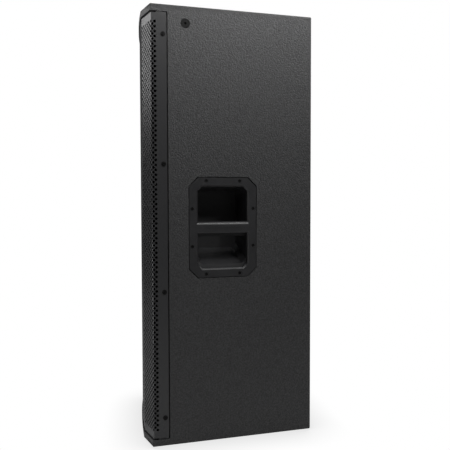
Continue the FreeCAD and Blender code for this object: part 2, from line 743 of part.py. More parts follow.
def dome(radius, base_y, rise, wall, z, steps=8):
    """A thin shallow dome on a rim of this radius at base_y; it rises towards -Y, or +Y if negative."""
    sphere = (radius ** 2 + rise ** 2) / (2 * abs(rise))
    sign = 1 if rise > 0 else -1
    sweep = math.asin(radius / sphere)
    angles = [sweep * n / steps for n in range(steps + 1)]
    centre = base_y + sign * (sphere - abs(rise))
    outside = [(sphere * math.sin(a), centre - sign * sphere * math.cos(a)) for a in angles]
    small = sphere - wall
    inside = [(small * math.sin(a), centre - sign * small * math.cos(a)) for a in angles[::-1]]
    return turned(outside + inside, z)


def voice_coil(z):
    y = baffle_y
    end = y + former_end_depth
    start = y + cone_neck_depth - cone_thickness
    tube = ring(former_radius, former_radius - former_wall, start, end, z)
    return tube.fuse(ring(former_radius + winding, former_radius, end - winding_length - 1, end - 1, z))


def make_woofer(name, z):
    y = baffle_y
    motor = y + frame_depth
    magnet_y = motor + front_plate_thickness
    back = magnet_y + magnet_thickness
    pole = former_radius - former_wall - magnet_gap
    coil_hole = former_radius + winding + magnet_gap
    cap_lift = dust_cap_wall + glue_gap
    save(name + "_basket", basket(z))
    save(name + "_surround", surround(z))
    save(name + "_cone", cone(z))
    save(name + "_dust_cap", dome(dust_cap_radius, y + cone_face(dust_cap_radius) - cap_lift,
                                  dust_cap_rise, dust_cap_wall, z))
    save(name + "_voice_coil", voice_coil(z))
    save(name + "_spider", ring(spider_radius, former_radius + winding + body_gap,
                                y + spider_depth - spider_thickness, y + spider_depth, z))
    save(name + "_front_plate", ring(pole_plate_radius, coil_hole, motor, magnet_y, z))
    save(name + "_magnet", ring(magnet_radius, magnet_bore, magnet_y, back, z))
    end = back + back_plate_thickness
    yoke = rod_y(pole_plate_radius, back, end, 0, z).fuse(rod_y(pole, motor, back, 0, z))
    save(name + "_back_plate", yoke.cut(rod_y(pole_vent, motor - 1, end + 1, 0, z)))


def make_woofers():
    for name, z in zip(("lower", "upper"), woofer_heights()):
        make_woofer(name, z)
    bolt = screw(machine_head, wood_screw)
    save("woofer_screws", Part.makeCompound([moved(bolt, x, baffle_y - frame_thickness, z)
                                             for x, z in woofer_bolt_places()]))


# ---- Ports -------------------------------------------------------------------------------
def port_places():
    return [(side * port_spread, case_bottom + height) for height in port_heights for side in (-1, 1)]


def make_ports():
    outer = port_radius + port_wall
    lip = outer + port_lip
    front = baffle_y - port_lip_thickness
    profile = [(port_radius + port_lip_thickness, front), (lip, front), (lip, baffle_y),
               (outer, baffle_y), (outer, baffle_y + port_length),
               (port_radius, baffle_y + port_length), (port_radius, baffle_y)]
    save("port_tubes", Part.makeCompound([turned(profile, z, x) for x, z in port_places()]))


# ---- Horn and driver ---------------------------------------------------------------------
def horn_screw_places():
    a, b = horn_flange[0] / 2 - 9, horn_flange[1] / 2 - 9
    z = case_bottom + horn_height
    return [(side * x, z + up * h) for x, h in ((a, b), (a, b / 3), (a / 3, b))
            for side in (-1, 1) for up in (-1, 1)]


def horn_loft(grow):
    z = case_bottom + horn_height
    wires = [rounded_wire(width + 2 * grow, height + 2 * grow, corner + grow, baffle_y + depth, 0, z)
             for depth, width, height, corner in horn_sections]
    return Part.makeLoft(wires, True, True)


def make_horn():
    z = case_bottom + horn_height
    front = baffle_y - horn_flange_thickness
    throat_y = baffle_y + horn_sections[-1][0]
    width, height, corner = horn_sections[0][1:]
    flange = rounded_plate(*horn_flange, corner / 2, front, baffle_y, 0, z)
    mouth = rounded_plate(width, height, corner, front - 1, baffle_y, 0, z)
    end = throat_y + throat_flange_thickness
    throat = rod_y(throat_flange_radius, throat_y, end, 0, z)
    body = flange.cut(mouth).fuse([horn_loft(horn_wall).cut(horn_loft(0.0)), throat])
    body = body.cut(rod_y(throat_radius, throat_y - 0.5, end + 1, 0, z))
    holes = [rod_y(wood_screw[0] + bore_clearance, front - 1, baffle_y + 1, x, hole_z)
             for x, hole_z in horn_screw_places()]
    save("horn", body.cut(holes))
    fixing = screw(machine_head, wood_screw)
    save("horn_screws", Part.makeCompound([moved(fixing, x, front, screw_z)
                                           for x, screw_z in horn_screw_places()]))
    make_driver(end, z)


def make_driver(y, z):
    magnet_y = y + driver_pole_plate
    plate_y = magnet_y + driver_magnet_thickness
    rear = plate_y + driver_top_plate
    coil_inner = driver_pole_radius + driver_coil_gap
    coil_outer = coil_inner + driver_coil_wall
    pole = rod_y(driver_radius, y, magnet_y, 0, z).fuse(rod_y(driver_pole_radius, magnet_y, rear, 0, z))
    save("driver_pole_plate", pole.cut(turned([(0, y - 1), (throat_radius, y - 1), (throat_radius, y),
                                               (driver_pole_bore, rear), (driver_pole_bore, rear + 1),
                                               (0, rear + 1)], z)))
    save("driver_magnet", ring(driver_radius, driver_magnet_bore, magnet_y, plate_y, z))
    save("driver_top_plate", ring(driver_radius, coil_outer + driver_coil_gap, plate_y, rear, z))
    save("driver_phase_plug", phase_plug(y, rear, z))
    rim = rear + 1.0
    save("driver_diaphragm", dome(coil_outer, rim + driver_dome_wall + glue_gap,
                                  -driver_dome_rise, driver_dome_wall, z))
    save("driver_coil", ring(coil_outer, coil_inner, rim - driver_coil_length, rim, z))
    depth, wall = driver_cover_depth, driver_cover_wall
    save("driver_cover", turned([(driver_radius, rear), (driver_radius, rear + depth - 5),
                                 (driver_radius - 5, rear + depth), (0, rear + depth),
                                 (0, rear + depth - wall), (driver_radius - 7, rear + depth - wall),
                                 (driver_radius - wall, rear + depth - 7),
                                 (driver_radius - wall, rear)], z))


def phase_plug(y, rear, z):
    """A tapered plug in the driver's throat, held by thin ribs."""
    length = rear - y
    tip, stem = y + 6.0, 8.0
    plug = turned([(0, tip), (stem, y + length * 0.55), (driver_pole_bore - 6, rear - 1),
                   (0, rear - 1)], z)
    start = y + length * 0.6
    bore = throat_radius + (driver_pole_bore - throat_radius) * 0.6 - bore_clearance
    ribs = [moved(turned_round(block(stem / 2, bore, start, rear - 4, -0.8, 0.8), Vec(0, 1, 0),
                               n * 360 / plug_ribs), 0, 0, z) for n in range(plug_ribs)]
    return plug.fuse(ribs)


# ---- Input plate and crossover -----------------------------------------------------------
def input_screw_places():
    a, b = input_plate_size[0] / 2 - 7, input_plate_size[1] / 2 - 7
    z = case_bottom + input_height
    return [(side * x, z + up * b) for x in (a, 0.0) for side in (-1, 1) for up in (-1, 1)
            if x > 0 or side > 0]


def make_input():
    z = case_bottom + input_height
    face = back_y - input_plate_sink
    plate = rounded_plate(*input_plate_size, input_plate_corner, face - input_plate_thickness, face, 0, z)
    sockets = ((-socket_spread, "input_socket"), (socket_spread, "link_socket"))
    cuts = [rod_y(socket_barrel[0] + bore_clearance, face - 5, face + 1, x, z) for x, name in sockets]
    cuts += [rod_y(wood_screw[0] + bore_clearance, face - 5, face + 1, x, screw_z)
             for x, screw_z in input_screw_places()]
    save("input_plate", plate.cut(cuts))
    flange_width, flange_height, flange_thickness = socket_flange
    outer, post, depth = socket_cavity
    for x, name in sockets:
        rear = face - socket_barrel[1]
        body = rounded_plate(flange_width, flange_height, 3.0, face, face + flange_thickness, x, z)
        body = body.fuse(rod_y(socket_barrel[0], rear, face, x, z))
        cavity_end = face + flange_thickness - depth
        save(name, body.cut(ring(outer, post, cavity_end, face + flange_thickness + 1, z, x)))
    fixing = turned_round(screw((small_head[0], small_head[1]), (wood_screw[0], 9.0)), Vec(0, 0, 1), 180)
    save("input_plate_screws", Part.makeCompound([moved(fixing, x, face, screw_z)
                                                  for x, screw_z in input_screw_places()]))


def make_crossover():
    z = case_bottom + board_height
    width, height, thickness = board_size
    face = inner_back - thickness
    save("crossover_board", block(-width / 2, width / 2, face, inner_back, z - height / 2, z + height / 2))
    coils = [ring(radius, radius / 2.5, face - tall, face, z + dz, x)
             for radius, tall, x, dz in ((32.0, 30.0, -60.0, 28.0), (24.0, 24.0, 55.0, 36.0))]
    save("crossover_coils", Part.makeCompound(coils))
    cans = [Part.makeCylinder(radius, length, Vec(x, face - radius, z + dz), Vec(1, 0, 0))
            for radius, length, x, dz in ((14.0, 50.0, -95.0, -28.0), (14.0, 50.0, -35.0, -28.0),
                                          (9.0, 34.0, -95.0, -58.0))]
    save("crossover_capacitors", Part.makeCompound(cans))
    bars = [block(30, 80, face - 10, face, z + dz, z + dz + 10) for dz in (-20.0, -38.0, -56.0)]
    save("crossover_resistors", Part.makeCompound(bars))


# ---- Damping pads and leads --------------------------------------------------------------
def make_pads():
    rear = block(-110, 110, inner_back - pad_thickness, inner_back, case_bottom + brace_heights[1] + 60,
                 inside_top - 90)
    low, high = inside_bottom + 60, case_bottom + brace_heights[0] - 20
    side = on_side(block(210, 390, panel, panel + pad_thickness, low, high))
    save("damping_pads", Part.makeCompound([rear, side, mirrored(side)]))


def lead(points):
    """A round cable along straight runs joined by tangent arcs."""
    corners = [Vec(*point) for point in points]
    edges, start = [], corners[0]
    for before, corner, after in zip(corners, corners[1:-1], corners[2:]):
        a, b = (before - corner).normalize(), (after - corner).normalize()
        half = a.getAngle(b) / 2
        reach = lead_bend / math.tan(half)
        first, last = corner + a * reach, corner + b * reach
        middle = (a + b).normalize()
        bulge = corner + middle * (lead_bend / math.sin(half) - lead_bend)
        edges += [Part.makeLine(start, first), Part.Arc(first, bulge, last).toShape()]
        start = last
    edges.append(Part.makeLine(start, corners[-1]))
    path = Part.Wire(edges)
    section = Part.Wire(Part.makeCircle(lead_radius, corners[0], corners[1] - corners[0]))
    return path.makePipeShell([section], True, False)


def make_leads():
    low, high = woofer_heights()
    socket_z = case_bottom + input_height
    socket_y = back_y - input_plate_sink - socket_barrel[1]
    board_z = case_bottom + board_height
    board_y = inner_back - board_size[2]
    drop_y = board_y - lead_standoff
    motor_y = baffle_y + frame_depth
    tag_radius = (magnet_radius + frame_seat) / 2
    tag_x = tag_radius * math.cos(math.radians(tag_angle))
    tag_rise = tag_radius * math.sin(math.radians(tag_angle))
    save("input_lead", lead([(-socket_spread, socket_y, socket_z), (-socket_spread, drop_y, socket_z),
                             (-40.0, drop_y, board_z - 45), (-40.0, board_y, board_z - 45)]))
    save("lower_woofer_lead", lead([(tag_x, board_y, board_z - 66), (tag_x, drop_y, board_z - 66),
                                    (tag_x, drop_y, low + tag_rise),
                                    (tag_x, motor_y, low + tag_rise)]))
    save("upper_woofer_lead", lead([(upper_lead_spread, board_y, board_z + 5),
                                    (upper_lead_spread, drop_y, board_z + 5),
                                    (tag_x, drop_y, high + tag_rise), (tag_x, motor_y, high + tag_rise)]))
    cover_y = baffle_y + horn_sections[-1][0] + throat_flange_thickness + driver_pole_plate \
        + driver_magnet_thickness + driver_top_plate + driver_cover_depth
    horn_z = case_bottom + horn_height
    save("driver_lead", lead([(-15.0, board_y, board_z + 66), (-15.0, drop_y, board_z + 66),
                              (-15.0, drop_y, horn_z), (-15.0, cover_y, horn_z)]))


def main():
    os.makedirs("parts", exist_ok=True)
    make_end_panels()
    make_side_panels()
    make_baffle()
    make_rear_panel()
    make_braces()
    make_grille()
    make_foam()
    make_handles()
    make_rigging()
    make_feet()
    make_woofers()
    make_ports()
    make_horn()
    make_input()
    make_crossover()
    make_pads()
    make_leads()


main()
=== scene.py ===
"""Finished looks for a floor-standing PA loudspeaker with side handles and a bent steel grille.

Everything is in metres. +Z is up and the grille faces -Y. Positions on a side are given as
(along, inward): along runs back from the front corner on the side's face.
"""
import json
import math
import bmesh
import bpy
from mathutils import Matrix, Vector
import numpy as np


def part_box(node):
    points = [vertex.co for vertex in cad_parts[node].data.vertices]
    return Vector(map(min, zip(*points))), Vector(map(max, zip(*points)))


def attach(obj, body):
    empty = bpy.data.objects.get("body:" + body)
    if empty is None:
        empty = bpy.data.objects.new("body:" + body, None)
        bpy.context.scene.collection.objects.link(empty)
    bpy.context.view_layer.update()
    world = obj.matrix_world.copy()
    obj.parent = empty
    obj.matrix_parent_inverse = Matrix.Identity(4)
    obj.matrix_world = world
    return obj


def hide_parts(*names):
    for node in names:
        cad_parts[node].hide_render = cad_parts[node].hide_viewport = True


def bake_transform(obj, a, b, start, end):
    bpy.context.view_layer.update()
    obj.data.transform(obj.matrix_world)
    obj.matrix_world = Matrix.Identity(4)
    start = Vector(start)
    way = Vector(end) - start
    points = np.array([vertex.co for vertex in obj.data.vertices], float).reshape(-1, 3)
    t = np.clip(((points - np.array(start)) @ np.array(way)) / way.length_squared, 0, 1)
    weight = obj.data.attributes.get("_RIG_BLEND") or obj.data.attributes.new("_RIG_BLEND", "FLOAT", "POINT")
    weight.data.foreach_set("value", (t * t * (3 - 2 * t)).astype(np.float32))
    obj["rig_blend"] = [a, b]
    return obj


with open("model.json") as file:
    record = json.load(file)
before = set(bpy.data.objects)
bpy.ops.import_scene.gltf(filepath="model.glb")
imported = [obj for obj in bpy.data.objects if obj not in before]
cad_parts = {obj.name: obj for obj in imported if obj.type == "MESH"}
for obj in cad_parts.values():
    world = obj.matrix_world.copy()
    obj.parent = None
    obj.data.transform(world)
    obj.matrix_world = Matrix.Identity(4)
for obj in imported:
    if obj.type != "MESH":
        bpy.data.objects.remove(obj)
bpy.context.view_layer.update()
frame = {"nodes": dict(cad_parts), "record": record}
nodes = frame["nodes"]
MM = 0.001

# ---- Case, taken from the frame where it says -------------------------------------------
SIDE_TAPER = math.radians(8.0)
FACET_SLOPE = math.radians(18.5)
FACET_LENGTH = 71.6 * MM
BOW_RISE = 4.5 * MM
GRILLE_SETBACK = 2.4 * MM
GRILLE_SHEET = 1.5 * MM
GRILLE_RETURN = 42.1 * MM

case_low, case_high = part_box("top_panel")
half_width = case_high.x
case_top = case_high.z
case_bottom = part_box("bottom_panel")[0].z
corner_y = case_low.y + BOW_RISE + FACET_LENGTH * math.sin(FACET_SLOPE)
middle_half = half_width - FACET_LENGTH * math.cos(FACET_SLOPE)


def side_place(along, inward, z):
    """A point given in the right-hand side's own frame."""
    x = half_width - along * math.sin(SIDE_TAPER) - inward * math.cos(SIDE_TAPER)
    y = corner_y + along * math.cos(SIDE_TAPER) - inward * math.sin(SIDE_TAPER)
    return Vector((x, y, z))


# ---- Node-tree shorthand ----------------------------------------------------------------
class Shader:
    """A material being wired up, with its Principled shader at hand."""

    def __init__(self, name):
        self.material = bpy.data.materials.new(name)
        self.material.use_nodes = True
        self.tree = self.material.node_tree
        self.principled = self.tree.nodes["Principled BSDF"]
        self.coordinates = self.tree.nodes.new("ShaderNodeTexCoord").outputs["Object"]

    def node(self, kind, inputs=(), **settings):
        made = self.tree.nodes.new(kind)
        for key, value in settings.items():
            setattr(made, key, value)
        for key, value in dict(inputs).items():
            self.feed(made.inputs[key], value)
        return made

    def feed(self, socket, value):
        if isinstance(value, bpy.types.NodeSocket):
            self.tree.links.new(value, socket)
        else:
            socket.default_value = value

    def set(self, **values):
        for key, value in values.items():
            self.feed(self.principled.inputs[key.replace("_", " ")], value)

    def noise(self, scale, detail=2.0, roughness=0.5, source=None):
        return self.node("ShaderNodeTexNoise", {"Vector": source or self.coordinates, "Scale": scale,
                                                "Detail": detail, "Roughness": roughness}).outputs["Fac"]

    def cells(self, scale, feature="F1", source=None):
        return self.node("ShaderNodeTexVoronoi", {"Vector": source or self.coordinates,
                                                  "Scale": scale}, feature=feature).outputs["Distance"]

    def remap(self, value, low, high, to_low=0.0, to_high=1.0):
        return self.node("ShaderNodeMapRange", {"Value": value, "From Min": low, "From Max": high,
                                                "To Min": to_low, "To Max": to_high}).outputs["Result"]

    def maths(self, operation, first, second):
        return self.node("ShaderNodeMath", {0: first, 1: second}, operation=operation).outputs["Value"]

    def mix_colour(self, factor, dark, light):
        mixer = self.node("ShaderNodeMix", {"Factor": factor}, data_type="RGBA")
        self.feed(mixer.inputs[6], (*dark, 1.0))
        self.feed(mixer.inputs[7], (*light, 1.0))
        return mixer.outputs[2]

    def bump(self, height, strength, distance, under=None):
        inputs = {"Height": height, "Strength": strength, "Distance": distance}
        if under is not None:
            inputs["Normal"] = under
        return self.node("ShaderNodeBump", inputs).outputs["Normal"]


# ---- Materials --------------------------------------------------------------------------
def textured_coating():
    """Sprayed pebble-textured paint over plywood."""
    s = Shader("textured_coating")
    pebbles = s.noise(260.0, 3.0, 0.6)
    fine = s.noise(900.0, 2.0, 0.5)
    tint = s.remap(pebbles, 0.35, 0.7)
    s.set(Base_Color=s.mix_colour(tint, (0.014, 0.014, 0.0145), (0.045, 0.045, 0.046)))
    s.set(Roughness=s.remap(fine, 0.3, 0.7, 0.42, 0.58))
    s.set(Specular_IOR_Level=0.5)
    broad = s.bump(pebbles, 0.8, 1.6 * MM)
    s.set(Normal=s.bump(fine, 0.35, 0.4 * MM, broad))
    return s.material


def powder_coat(name, colour, roughness, grain=1500.0):
    s = Shader(name)
    grit = s.noise(grain, 2.0, 0.5)
    light = tuple(min(1.0, c * 1.35) for c in colour)
    s.set(Base_Color=s.mix_colour(s.remap(grit, 0.3, 0.7), colour, light))
    s.set(Roughness=s.remap(grit, 0.3, 0.7, roughness - 0.06, roughness + 0.08))
    s.set(Normal=s.bump(grit, 0.25, 0.15 * MM))
    return s.material


def moulded_plastic(name, colour, roughness):
    """Injection-moulded plastic with a fine spark-eroded grain."""
    s = Shader(name)
    grain = s.cells(1400.0)
    drift = s.noise(14.0, 2.0)
    light = tuple(c * 1.25 for c in colour)
    s.set(Base_Color=s.mix_colour(s.remap(drift, 0.35, 0.65), colour, light))
    s.set(Roughness=s.remap(s.noise(60.0, 3.0), 0.3, 0.7, roughness - 0.05, roughness + 0.06))
    s.set(Normal=s.bump(grain, 0.22, 0.2 * MM))
    return s.material


def metal(name, colour, roughness, scale=120.0, stretch=(1.0, 30.0, 1.0)):
    s = Shader(name)
    mapping = s.node("ShaderNodeMapping", {"Vector": s.coordinates, "Scale": stretch})
    streaks = s.noise(scale, 3.0, 0.6, mapping.outputs["Vector"])
    light = tuple(min(1.0, c * 1.2) for c in colour)
    s.set(Metallic=1.0)
    s.set(Base_Color=s.mix_colour(s.remap(streaks, 0.3, 0.7), colour, light))
    s.set(Roughness=s.remap(streaks, 0.3, 0.7, roughness - 0.07, roughness + 0.1))
    s.set(Normal=s.bump(streaks, 0.15, 0.1 * MM))
    return s.material


def fibre(name, dark, light, scale, roughness=0.9, gloss=0.5):
    s = Shader(name)
    threads = s.noise(scale, 4.0, 0.65)
    s.set(Base_Color=s.mix_colour(s.remap(threads, 0.3, 0.7), dark, light), Roughness=roughness)
    s.set(Specular_IOR_Level=gloss)
    s.set(Normal=s.bump(threads, 0.6, 0.6 * MM))
    return s.material


def blackened(name, roughness):
    """Dull black finish on a fastener or insert, darker than the coating round it."""
    s = Shader(name)
    grit = s.noise(900.0, 2.0, 0.5)
    s.set(Base_Color=s.mix_colour(s.remap(grit, 0.3, 0.7), (0.003, 0.003, 0.003), (0.007, 0.007, 0.007)))
    s.set(Roughness=s.remap(grit, 0.3, 0.7, roughness - 0.05, roughness + 0.05))
    s.set(Specular_IOR_Level=0.15)
    return s.material


SLOT_MATERIALS = {
    "coating": textured_coating(),
    "raw_plywood": fibre("stained_plywood", (0.012, 0.011, 0.010), (0.03, 0.027, 0.024), 220.0, 0.7),
    "grille_paint": powder_coat("grille_powder_coat", (0.022, 0.022, 0.023), 0.36),
    "black_screw": blackened("black_oxide", 0.5),
    "handle_plastic": moulded_plastic("handle_plastic", (0.014, 0.014, 0.015), 0.42),
    "insert_steel": blackened("blackened_steel", 0.55),
    "foot_rubber": moulded_plastic("foot_rubber", (0.016, 0.016, 0.016), 0.7),
    "basket_aluminium": powder_coat("basket_lacquer", (0.03, 0.03, 0.031), 0.35, 700.0),
    "surround_rubber": fibre("surround_cloth", (0.012, 0.012, 0.012), (0.03, 0.03, 0.03), 1200.0, 0.6),
    "cone_paper": fibre("cone_paper", (0.02, 0.02, 0.02), (0.045, 0.044, 0.042), 420.0, 0.75),
    "spider_cloth": fibre("spider_cloth", (0.3, 0.2, 0.1), (0.6, 0.45, 0.26), 1500.0),
    "copper": metal("enamelled_wire", (0.6, 0.27, 0.13), 0.3, 1500.0, (1.0, 6.0, 1.0)),
    "pole_steel": metal("plated_steel", (0.42, 0.42, 0.43), 0.32),
    "ferrite": fibre("ferrite", (0.02, 0.02, 0.022), (0.06, 0.06, 0.062), 900.0, 0.55),
    "horn_plastic": moulded_plastic("horn_plastic", (0.014, 0.014, 0.014), 0.35),
    "diaphragm_metal": metal("formed_foil", (0.62, 0.62, 0.64), 0.25, 200.0),
    "input_paint": powder_coat("input_plate_paint", (0.02, 0.02, 0.021), 0.4),
    "socket_plastic": moulded_plastic("socket_plastic", (0.012, 0.014, 0.03), 0.32),
    "board_material": fibre("fibreboard", (0.2, 0.12, 0.06), (0.36, 0.25, 0.14), 300.0),
    "capacitor_film": moulded_plastic("capacitor_wrap", (0.45, 0.22, 0.02), 0.25),
    "resistor_ceramic": fibre("cement", (0.55, 0.54, 0.5), (0.75, 0.74, 0.7), 900.0, 0.8),
    "damping_felt": fibre("felt", (0.25, 0.23, 0.19), (0.5, 0.47, 0.4), 260.0),
    "grille_foam": fibre("open_cell_foam", (0.001, 0.001, 0.001), (0.003, 0.003, 0.003), 700.0, 1.0, 0.0),
    "cable_jacket": moulded_plastic("cable_jacket", (0.015, 0.015, 0.015), 0.5),
}
slot_of = {part["node"]: part["material_slot"] for part in frame["record"]["subparts"]}


def dress(piece, slot):
    piece.data.materials.clear()
    piece.data.materials.append(SLOT_MATERIALS[slot])


def add_piece(name, mesh, slot, body="cabinet", replaced=()):
    """Turns a finished bmesh into a piece that rides on a body, or on none if it is blended later."""
    data = bpy.data.meshes.new(name)
    mesh.to_mesh(data)
    mesh.free()
    piece = bpy.data.objects.new(name, data)
    bpy.context.scene.collection.objects.link(piece)
    dress(piece, slot)
    if body:
        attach(piece, body)
    if replaced:
        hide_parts(*replaced)
    return piece


def smooth(piece, degrees=35.0):
    for polygon in piece.data.polygons:
        polygon.use_smooth = True
    piece.data.set_sharp_from_angle(angle=math.radians(degrees))
    return piece


# ---- Grille -----------------------------------------------------------------------------
HOLE_PITCH = Vector((12.62, 12.5)) * MM     # across and up; holes sit on its corners and centre
HOLE_RADIUS = 3.75 * MM
EDGE_BEND = 7.0 * MM           # radius where the bowed middle meets a facet
CORNER_BEND = 4.0 * MM         # radius where a facet turns onto the side
HOLE_MARGIN = 40.0 * MM        # plain strip at the ends, from the case's top and bottom
HOLES_ON_RETURN = 12.0 * MM    # holes run this far round onto each side


def grille_legs():
    """Length and turn of each leg of the sheet's outer face, from its middle to one end."""
    drop = GRILLE_SETBACK * math.tan(FACET_SLOPE / 2)
    chord_half = middle_half - drop
    bow_radius = (chord_half ** 2 + BOW_RISE ** 2) / (2 * BOW_RISE)
    bow_turn = math.asin(chord_half / bow_radius)
    edge_turn = FACET_SLOPE - bow_turn
    corner_turn = math.pi / 2 + SIDE_TAPER - FACET_SLOPE
    edge_cut = EDGE_BEND * math.tan(edge_turn / 2)
    corner_cut = CORNER_BEND * math.tan(corner_turn / 2)
    step_back = GRILLE_SETBACK / math.sin(math.pi - corner_turn)
    facet = FACET_LENGTH - drop - step_back * math.cos(math.pi - corner_turn)
    return [(bow_radius * bow_turn - edge_cut, bow_turn), (EDGE_BEND * edge_turn, edge_turn),
            (facet - edge_cut - corner_cut, 0.0), (CORNER_BEND * corner_turn, corner_turn),
            (GRILLE_RETURN - step_back - corner_cut, 0.0)]


def walk(legs, distance):
    """Where a point lies that has gone this far along the legs from the sheet's middle."""
    place = Vector((0.0, corner_y - FACET_LENGTH * math.sin(FACET_SLOPE) - BOW_RISE + GRILLE_SETBACK))
    heading = 0.0
    for length, turn in legs:
        step = min(distance, length)
        share = turn * step / length
        chord = step if abs(share) < 1e-6 else 2 * (length / turn) * math.sin(share / 2)
        direction = heading + share / 2
        place = place + chord * Vector((math.cos(direction), math.sin(direction)))
        heading += share
        distance -= step
        if distance <= 0:
            break
    return place


def outside_strip(face, low, high, bottom, top):
    xs = [vertex.co.x for vertex in face.verts]
    ys = [vertex.co.y for vertex in face.verts]
    return max(xs) < low or min(xs) > high or max(ys) < bottom or min(ys) > top


def perforated_flat(low, high, bottom, top, hole_reach, bends):
    """The sheet from low to high along its length, still flat in X and Y, with its holes."""
    reach = max(high - low, top - bottom) + 4 * HOLE_PITCH.x
    half_count = math.ceil(reach / math.sqrt(2) / HOLE_PITCH.y)
    mesh = bmesh.new()
    bmesh.ops.create_grid(mesh, x_segments=2 * half_count, y_segments=2 * half_count,
                          size=half_count / math.sqrt(2))
    column = (math.floor((low + high) / 2 / HOLE_PITCH.x) + 0.5) * HOLE_PITCH.x
    spread = Matrix.Diagonal((HOLE_PITCH.x, HOLE_PITCH.y, 1.0, 1.0))
    turn = Matrix.Rotation(math.pi / 4, 4, "Z")
    shift = Matrix.Translation((column, (bottom + top) / 2, 0))
    bmesh.ops.transform(mesh, matrix=shift @ spread @ turn, verts=mesh.verts)
    outside = [face for face in mesh.faces if outside_strip(face, low, high, bottom, top)]
    bmesh.ops.delete(mesh, geom=outside, context="FACES")
    end = HOLE_MARGIN - (bottom - case_bottom)
    holed = []
    for face in mesh.faces:
        centre = face.calc_center_median()
        if (bottom + end < centre.y < top - end and low < centre.x < high
                and abs(centre.x) < hole_reach):
            holed.append(face)
    cell_side = HOLE_PITCH.y / math.sqrt(2)
    bmesh.ops.inset_individual(mesh, faces=holed, thickness=cell_side / 2 - HOLE_RADIUS / math.sqrt(2),
                               use_even_offset=True)
    rims = list({edge for face in holed for edge in face.edges})
    bmesh.ops.subdivide_edges(mesh, edges=rims, cuts=1)
    for face in holed:
        centre = face.calc_center_median()
        for vertex in face.verts:
            vertex.co = centre + (vertex.co - centre).normalized() * HOLE_RADIUS
    bmesh.ops.delete(mesh, geom=holed, context="FACES")
    for place in bends + [-place for place in bends]:
        if low < place < high:
            bmesh.ops.bisect_plane(mesh, geom=mesh.verts[:] + mesh.edges[:] + mesh.faces[:],
                                   plane_co=(place, 0, 0), plane_no=(1, 0, 0), dist=1e-6)
    for spot, normal in (((low, 0, 0), (-1, 0, 0)), ((high, 0, 0), (1, 0, 0)),
                         ((0, bottom, 0), (0, -1, 0)), ((0, top, 0), (0, 1, 0))):
        bmesh.ops.bisect_plane(mesh, geom=mesh.verts[:] + mesh.edges[:] + mesh.faces[:],
                               plane_co=spot, plane_no=normal, clear_outer=True, dist=1e-6)
    return mesh


def make_grille():
    legs = grille_legs()
    ends = [sum(length for length, turn in legs[:n + 1]) for n in range(len(legs))]
    bends = [ends[0] + share * legs[1][0] for share in (0.0, 0.5, 1.0)]
    bends += [ends[2] + share * legs[3][0] for share in (0.0, 0.25, 0.5, 0.75, 1.0)]
    node_low, node_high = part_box("grille")
    hole_reach = ends[2] + legs[3][0] / 2 + HOLES_ON_RETURN
    split = math.floor(ends[0] / HOLE_PITCH.x) * HOLE_PITCH.x
    strips = {"grille_middle": (-split, split), "grille_left": (-ends[4], -split),
              "grille_right": (split, ends[4])}
    for name, (low, high) in strips.items():
        mesh = perforated_flat(low, high, node_low.z, node_high.z, hole_reach, bends)
        for vertex in mesh.verts:
            place = walk(legs, abs(vertex.co.x))
            vertex.co = Vector((math.copysign(place.x, vertex.co.x), place.y, vertex.co.y))
        bmesh.ops.recalc_face_normals(mesh, faces=mesh.faces)
        if sum(face.normal.y * face.calc_area() for face in mesh.faces) > 0:
            bmesh.ops.reverse_faces(mesh, faces=mesh.faces)
        bmesh.ops.solidify(mesh, geom=mesh.faces[:], thickness=GRILLE_SHEET)
        add_piece(name, mesh, "grille_paint", replaced=["grille"])


# ---- Pieces that keep their CAD shape, with smooth rounds and eased edges ---------------
def refined(node, ease=0.0, segments=2, sharp=35.0):
    """Stands in for a CAD node: rounds are shaded smooth, and sharp edges eased by this much."""
    mesh = bmesh.new()
    mesh.from_mesh(nodes[node].data)
    bmesh.ops.remove_doubles(mesh, verts=mesh.verts, dist=0.005 * MM)
    bmesh.ops.dissolve_limit(mesh, angle_limit=math.radians(0.5), verts=mesh.verts, edges=mesh.edges)
    piece = add_piece(node + "_finished", mesh, slot_of[node], body_of(node), [node])
    if ease:
        bevel = piece.modifiers.new("eased_edges", "BEVEL")
        bevel.width = ease
        bevel.segments = segments
        bevel.limit_method = "ANGLE"
        bevel.angle_limit = math.radians(sharp)
        bevel.use_clamp_overlap = True
    smooth(piece, sharp)
    weigh = piece.modifiers.new("flat_faces_first", "WEIGHTED_NORMAL")
    weigh.keep_sharp = True
    return piece


def body_of(node):
    bodies = frame["record"]["behaviour"]["bodies"]
    return next(body for body, members in bodies.items() if node in members)


def make_refined():
    for node in ("left_handle", "right_handle"):
        refined(node, 0.7 * MM, 3)
    for node in ("top_panel", "bottom_panel", "left_side_panel", "right_side_panel", "rear_panel"):
        refined(node)
    for node in ("input_plate", "input_socket", "link_socket", "rigging_inserts", "grille_screws",
                 "handle_screws", "rigging_plug_screws", "input_plate_screws", "woofer_screws",
                 "horn_screws"):
        refined(node, 0.25 * MM)
    refined("feet", 0.6 * MM)
    for node in ("lower_basket", "upper_basket"):
        refined(node, 1.0 * MM)


# ---- Turned pieces ----------------------------------------------------------------------
def spin_profile(mesh, profile, x, z, steps=72):
    """Turns (radius, y) points, a closed outline, about an axis along Y through (x, z)."""
    spots = [mesh.verts.new((x + radius, y, z)) for radius, y in profile]
    edges = [mesh.edges.new((spots[n - 1], spots[n])) for n in range(len(spots))]
    bmesh.ops.spin(mesh, geom=spots + edges, cent=(x, 0, z), axis=(0, 1, 0), steps=steps,
                   angle=2 * math.pi, use_merge=True)


